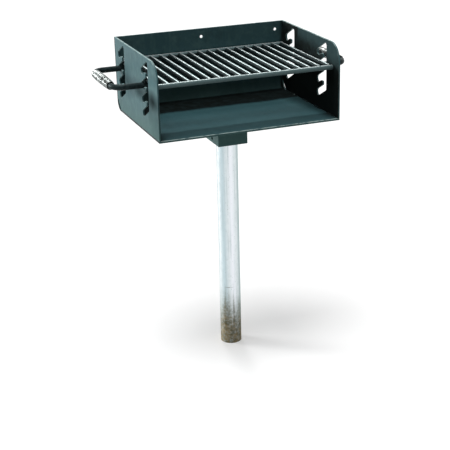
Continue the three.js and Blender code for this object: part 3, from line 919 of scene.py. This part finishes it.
def rod_stations(length, radius):
    """Distances along a rod, and the share of its radius at each, with both ends rounded over."""
    turns = [QUARTER * step / ROD_END_STEPS for step in range(ROD_END_STEPS + 1)]
    start = [(ROD_END_ROUNDING * (1 - math.cos(turn)),
              1 - ROD_END_ROUNDING / radius * (1 - math.sin(turn))) for turn in turns]
    span = length - 2 * ROD_END_ROUNDING
    count = max(2, round(span / ROD_STEP))
    middle = [(ROD_END_ROUNDING + span * step / count, 1.0) for step in range(1, count)]
    return start + middle + [(length - distance, share) for distance, share in reversed(start)]


def add_rod(bm, points, shares, radius):
    """Adds a level rod along a line, a little uneven, with a share of its radius at each point."""
    radii = [radius * share - abs(ROD_UNEVENNESS * noise.noise(point * ROD_NOISE))
             for point, share in zip(points, shares)]
    sweep(bm, points, [UP] * len(points), radii, ROD_SIDES)


def straight_rod(node, axis):
    """A bar of round stock that fills the box of its node."""
    low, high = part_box(node)
    start = centre(node)
    start[axis] = low[axis]
    along = Vector((0, 0, 0))
    along[axis] = 1
    distances, shares = zip(*rod_stations(high[axis] - low[axis], BAR_RADIUS))
    bm = new_bmesh()
    add_rod(bm, [start + along * distance for distance in distances], shares, BAR_RADIUS)
    return mesh_from(bm)


def handle_axis(side):
    """The x of the bar of a handle that holds its grip."""
    low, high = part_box(f"handle_{side}")
    return low.x + HANDLE_RADIUS if side == "left" else high.x - HANDLE_RADIUS


def handle_route(side):
    """Centre line of a handle: in along the front leg, round the grip bar, and back along the rear leg."""
    low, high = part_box(f"handle_{side}")
    outer = handle_axis(side)
    inner, sign = (high.x, -1) if side == "left" else (low.x, 1)
    front, rear = low.y + HANDLE_RADIUS, high.y - HANDLE_RADIUS
    level = (low.z + high.z) / 2
    leg = abs(outer - inner) - HANDLE_BEND
    stations = [station for station in rod_stations(2 * leg, HANDLE_RADIUS) if station[0] < leg]
    legs, shares = (list(values) for values in zip(*stations))
    front_leg = [Vector((inner + sign * distance, front, level)) for distance in legs]
    bend = [QUARTER * step / HANDLE_BEND_STEPS for step in range(HANDLE_BEND_STEPS + 1)]
    centre_x = outer - sign * HANDLE_BEND
    front_bend = [Vector((centre_x + sign * HANDLE_BEND * math.sin(turn),
                          front + HANDLE_BEND * (1 - math.cos(turn)), level)) for turn in bend]
    straight = rear - front - 2 * HANDLE_BEND
    grip_steps = round(straight / ROD_STEP)
    grip = [Vector((outer, front + HANDLE_BEND + straight * step / grip_steps, level))
            for step in range(1, grip_steps)]
    half = front_leg + front_bend
    mirrored = [Vector((point.x, front + rear - point.y, level)) for point in reversed(half)]
    ones = [1.0] * (len(front_bend) + len(grip) + len(front_bend))
    return half + grip + mirrored, shares + ones + shares[::-1]


def bar_nodes():
    return sorted(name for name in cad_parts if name.startswith("grate_bar_"))


def make_grate():
    for side in ("left", "right"):
        bm = new_bmesh()
        add_rod(bm, *handle_route(side), HANDLE_RADIUS)
        add_piece(f"handle_rod_{side}", mesh_from(bm), HANDLE_STEEL, "grate", "grate_steel", f"handle_{side}")
    for place in ("front", "rear"):
        node = f"grate_crossbar_{place}"
        add_piece(f"crossbar_{place}", straight_rod(node, 0), CROSSBAR_STEEL, "grate", "grate_steel", node)
    for node in bar_nodes():
        name = node.replace("grate_bar", "cooking_bar")
        add_piece(name, straight_rod(node, 1), BAR_STEEL, "grate", "grate_steel", node)


# Coil grips

def coil_advance(turn_share, opened):
    """Share of the grip's length reached after a share of its turns. A few turns of one grip stand open."""
    if not opened:
        return turn_share
    start = OPENED_PLACE_SHARE - OPENED_TURNS_SHARE / 2
    step = min(max((turn_share - start) / OPENED_TURNS_SHARE, 0), 1)
    return turn_share * (1 - OPENED_LENGTH_SHARE) + step * step * (3 - 2 * step) * OPENED_LENGTH_SHARE


def make_grip(side):
    """One unbroken wire, wound tight on the handle at both ends and swelling between them."""
    node = f"spring_grip_{side}"
    low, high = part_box(node)
    rod_middle = centre(f"handle_{side}")
    x = handle_axis(side)
    middle = Vector((x, rod_middle.y, rod_middle.z))
    wire_radius = GRIP_WIRE / 2
    length = high.y - low.y - GRIP_WIRE
    narrow = HANDLE_RADIUS + GRIP_ROD_GAP + wire_radius
    wide = max(high.x - x, x - low.x) - wire_radius
    points, ups = [], []
    count = GRIP_TURNS * COIL_STEPS
    for step in range(count + 1):
        share = coil_advance(step / count, side == "left")
        turn = FULL_TURN * step / COIL_STEPS
        radius = narrow + (wide - narrow) * max(math.sin(math.pi * share), 0) ** GRIP_SWELL_SHARE
        outward = Vector((math.cos(turn), 0, math.sin(turn)))
        points.append(middle + outward * radius + Vector((0, length * (0.5 - share), 0)))
        ups.append(outward)
    start_tangent = (points[0] - points[1]).normalized()
    end_tangent = (points[-1] - points[-2]).normalized()
    points = [points[0] + start_tangent * GRIP_WIRE] + points + [points[-1] + end_tangent * GRIP_WIRE]
    ups = ups[:1] + ups + ups[-1:]
    bm = new_bmesh()
    sweep(bm, points, ups, [wire_radius] * len(points), COIL_SIDES)
    add_piece(f"coil_grip_{side}", mesh_from(bm), WIRE, "grate", "nickel_wire", node, fold=WIRE_FOLD)


# Post

def make_post():
    """Hot-dipped pipe, a little uneven, with the cross hole for the pin."""
    low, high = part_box("post_pipe")
    outer = (high.x - low.x) / 2
    rings_up = round((high.z - low.z) / POST_STEP)
    heights = [low.z + (high.z - low.z) * step / rings_up for step in range(rings_up + 1)]
    bm = new_bmesh()
    walls = []
    for radius, slack in ((outer, POST_UNEVENNESS), (outer - POST_WALL, 0)):
        rings = []
        for height in heights:
            ring = []
            for turn in turns_of(POST_SIDES):
                at = Vector((math.cos(turn), math.sin(turn), 0))
                where = Vector((at.x * POST_NOISE_ROUND, at.y * POST_NOISE_ROUND, height * POST_NOISE_UP))
                ring.append(at * (radius - slack * abs(noise.noise(where))) + UP * height)
            rings.append(add_ring(bm, ring))
        for first, second in zip(rings, rings[1:]):
            bridge(bm, first, second)
        walls.append(rings)
    for end in (0, -1):
        bridge(bm, walls[0][end], walls[1][end])
    pin_low, pin_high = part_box("retaining_pin")
    hole_radius = (pin_high.z - pin_low.z) / 2 + PIN_HOLE_CLEARANCE
    pipe = drill_through(mesh_from(bm), [centre("retaining_pin")], "x", hole_radius, 2 * outer)
    add_piece("zinc_post", pipe, ZINC, "post", "galvanised_steel", "post_pipe")


def finish_pin():
    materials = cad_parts["retaining_pin"].data.materials
    materials.clear()
    materials.append(PIN_STEEL)


# Welds

def bead(bm, path, radius, up=UP):
    """Adds a rippled bead along a path of points, tapered at both ends."""
    lengths = [(second - first).length for first, second in zip(path, path[1:])]
    total = sum(lengths)
    count = max(BEAD_LEAST_STEPS, round(total / BEAD_PITCH * BEAD_STEPS))
    points, radii = [], []
    for step in range(count + 1):
        distance = total * step / count
        left = distance
        for index, length in enumerate(lengths):
            if left <= length or index == len(lengths) - 1:
                break
            left -= length
        point = path[index].lerp(path[index + 1], min(left / length, 1))
        drift = point * BEAD_WANDER_NOISE
        wander = Vector((noise.noise(drift), noise.noise(drift + up), 0)) * radius * BEAD_WANDER_SHARE
        ripple = 1 - BEAD_RIPPLE_SHARE * (1 - abs(math.cos(math.pi * distance / BEAD_PITCH)))
        reach = min(distance, total - distance) / (BEAD_TAPER_SHARE * radius)
        taper = math.sqrt(1 - (1 - min(max(reach, 0), 1)) ** 2)
        points.append(point + wander)
        radii.append(radius * ripple * max(taper, BEAD_END_SHARE))
    sweep(bm, points, [up] * len(points), radii, BEAD_SIDES)


def stitches(bm, start, end, count, radius, up):
    """Adds short beads, evenly spaced, along a seam."""
    seam = end - start
    for index in range(count):
        middle = start + seam * ((index + 0.5) / count)
        half = seam.normalized() * STITCH_LENGTH / 2
        bead(bm, [middle - half, middle + half], radius, up)


def make_firebox_welds():
    bm = new_bmesh()
    sideways = Vector((1, 0, 0))
    back = PANEL_HIGH.y
    for side in (-1, 1):
        x = side * SIDE_INSIDE
        stitches(bm, Vector((x, PANEL_LOW.y + SEAM_FRONT_ROOM, FLOOR_TOP)),
                 Vector((x, back - SEAM_REAR_ROOM, FLOOR_TOP)), FLOOR_STITCHES, SEAM_BEAD, sideways)
        stitches(bm, Vector((x, back, FLOOR_TOP + SEAM_BEND_ROOM)),
                 Vector((x, back, PANEL_HIGH.z - SEAM_TOP_ROOM)), BACK_STITCHES, SEAM_BEAD, sideways)
    add_piece("firebox_welds", mesh_from(bm), PAINTED_WELD, "firebox", "painted_steel", fold=WELD_FOLD)


def make_socket_welds():
    bm = new_bmesh()
    low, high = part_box("socket_sleeve")
    inside_low, inside_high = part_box("socket_bottom_plate")
    for a, b, height, radius in ((low, high, PAN_LOW.z, SOCKET_BEAD),
                                 (inside_low, inside_high, low.z + EDGE_ROUNDING, SEAM_BEAD / 2)):
        ring = [Vector((x, y, height)) for x, y in ((a.x, a.y), (b.x, a.y), (b.x, b.y), (a.x, b.y))]
        for first, second in zip(ring, ring[1:] + ring[:1]):
            bead(bm, [first, second], radius)
    add_piece("socket_welds", mesh_from(bm), PAINTED_WELD, "firebox", "painted_steel", fold=WELD_FOLD)


def make_grate_welds():
    bm = new_bmesh()
    leg_low, leg_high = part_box("handle_right")
    legs = (leg_low.y + HANDLE_RADIUS, leg_high.y - HANDLE_RADIUS)
    crossbars = [centre(f"grate_crossbar_{place}").y for place in ("front", "rear")]
    half = Vector((0, LEG_BEAD_REACH_SHARE * GRATE_BEAD, 0))
    turns = [math.radians(angle) for angle in CROSSBAR_BEAD_ANGLES]
    for node in bar_nodes():
        bar = centre(node)
        for leg in legs:
            for side in (-1, 1):
                at = Vector((bar.x + side * LEG_BEAD_SIDE_SHARE * BAR_RADIUS, leg, leg_high.z))
                bead(bm, [at - half, at + half], GRATE_BEAD)
        for crossbar in crossbars:
            joint = crossbar + math.copysign(BAR_RADIUS, bar.y - crossbar)
            over = [Vector((bar.x + CROSSBAR_BEAD_WIDTH_SHARE * BAR_RADIUS * math.sin(turn), joint,
                            bar.z + CROSSBAR_BEAD_HEIGHT_SHARE * BAR_RADIUS * math.cos(turn)))
                    for turn in turns]
            bead(bm, over, GRATE_BEAD * CROSSBAR_BEAD_SHARE, Vector((0, 1, 0)))
    add_piece("grate_welds", mesh_from(bm), BAR_STEEL, "grate", "grate_steel", fold=WELD_FOLD)


# Stage, light and camera

def seen_directly(tree):
    """1 for what the camera, a gloss or a clear surface sees, and 0 for light on its way to a surface."""
    path = tree.nodes.new("ShaderNodeLightPath")
    seen = path.outputs["Is Camera Ray"]
    for kind in ("Is Glossy Ray", "Is Transmission Ray"):
        either = tree.nodes.new("ShaderNodeMath")
        either.operation = "MAXIMUM"
        tree.links.new(seen, either.inputs[0])
        tree.links.new(path.outputs[kind], either.inputs[1])
        seen = either.outputs[0]
    return seen


def make_stage():
    half = FLOOR_SIZE / 2
    bm = new_bmesh()
    bm.faces.new(add_ring(bm, [(-half, -half, 0), (half, -half, 0), (half, half, 0), (-half, half, 0)]))
    floor = bpy.data.objects.new("stage_floor", mesh_from(bm))
    bpy.context.scene.collection.objects.link(floor)
    f = Finish("stage_floor")
    seen = seen_directly(f.tree)
    floor.data.materials.append(f.surface(
        Base_Color=f.mix(seen, FLOOR_UNSEEN, FLOOR_SEEN), Roughness=1.0, Specular_IOR_Level=0.0,
        Emission_Color=WHITE, Emission_Strength=f.times(seen, FLOOR_GLOW)))


def light_world():
    """An even pale sky that metal and the camera see as white, and that lights by less."""
    world = bpy.data.worlds.new("studio")
    bpy.context.scene.world = world
    world.use_nodes = True
    tree = world.node_tree
    tree.nodes.clear()
    strength = tree.nodes.new("ShaderNodeMapRange")
    strength.inputs["To Min"].default_value = SKY_LIGHT
    strength.inputs["To Max"].default_value = 1.0
    tree.links.new(seen_directly(tree), strength.inputs["Value"])
    sky = tree.nodes.new("ShaderNodeBackground")
    tree.links.new(strength.outputs[0], sky.inputs["Strength"])
    sky.inputs["Color"].default_value = (*WHITE, 1)
    tree.links.new(sky.outputs[0], tree.nodes.new("ShaderNodeOutputWorld").inputs["Surface"])


def direction(azimuth, elevation):
    """Towards a place round the part. Azimuth 0 is in front and -90 on the left."""
    turn, rise = math.radians(azimuth), math.radians(elevation)
    return Vector((math.sin(turn) * math.cos(rise), -math.cos(turn) * math.cos(rise), math.sin(rise)))


def add_lamp(name, azimuth, elevation, softness, level):
    """A soft lamp far off. At level 1 a white surface that faces it shows as white."""
    data = bpy.data.lights.new(name, "SUN")
    data.angle = math.radians(softness)
    data.energy = math.pi * level
    lamp = bpy.data.objects.new(name, data)
    bpy.context.scene.collection.objects.link(lamp)
    lamp.rotation_euler = direction(azimuth, elevation).to_track_quat("Z", "Y").to_euler()


def make_lights():
    """Low light from behind on the left, which leaves the inside and the front dark, and light from above."""
    light_world()
    for lamp in LAMPS:
        add_lamp(*lamp)


def make_camera():
    data = bpy.data.cameras.new("camera")
    data.lens = CAMERA_LENS
    data.sensor_width = CAMERA_SENSOR
    data.clip_end = CAMERA_REACH
    camera = bpy.data.objects.new("camera", data)
    bpy.context.scene.collection.objects.link(camera)
    roll = math.radians(CAMERA_ROLL)
    back = direction(CAMERA_AZIMUTH, CAMERA_ELEVATION)
    level = UP.cross(back).normalized()
    right = math.cos(roll) * level + math.sin(roll) * back.cross(level)
    up = back.cross(right)
    camera.matrix_world = Matrix.Translation(CAMERA_PLACE) @ Matrix((right, up, back)).transposed().to_4x4()
    bpy.context.scene.camera = camera


make_camera()
make_firebox()
make_socket()
make_grate()
make_grip("left")
make_grip("right")
make_post()
finish_pin()
make_firebox_welds()
make_socket_welds()
make_grate_welds()
make_stage()
make_lights()
bpy.context.scene.view_settings.view_transform = "Standard"
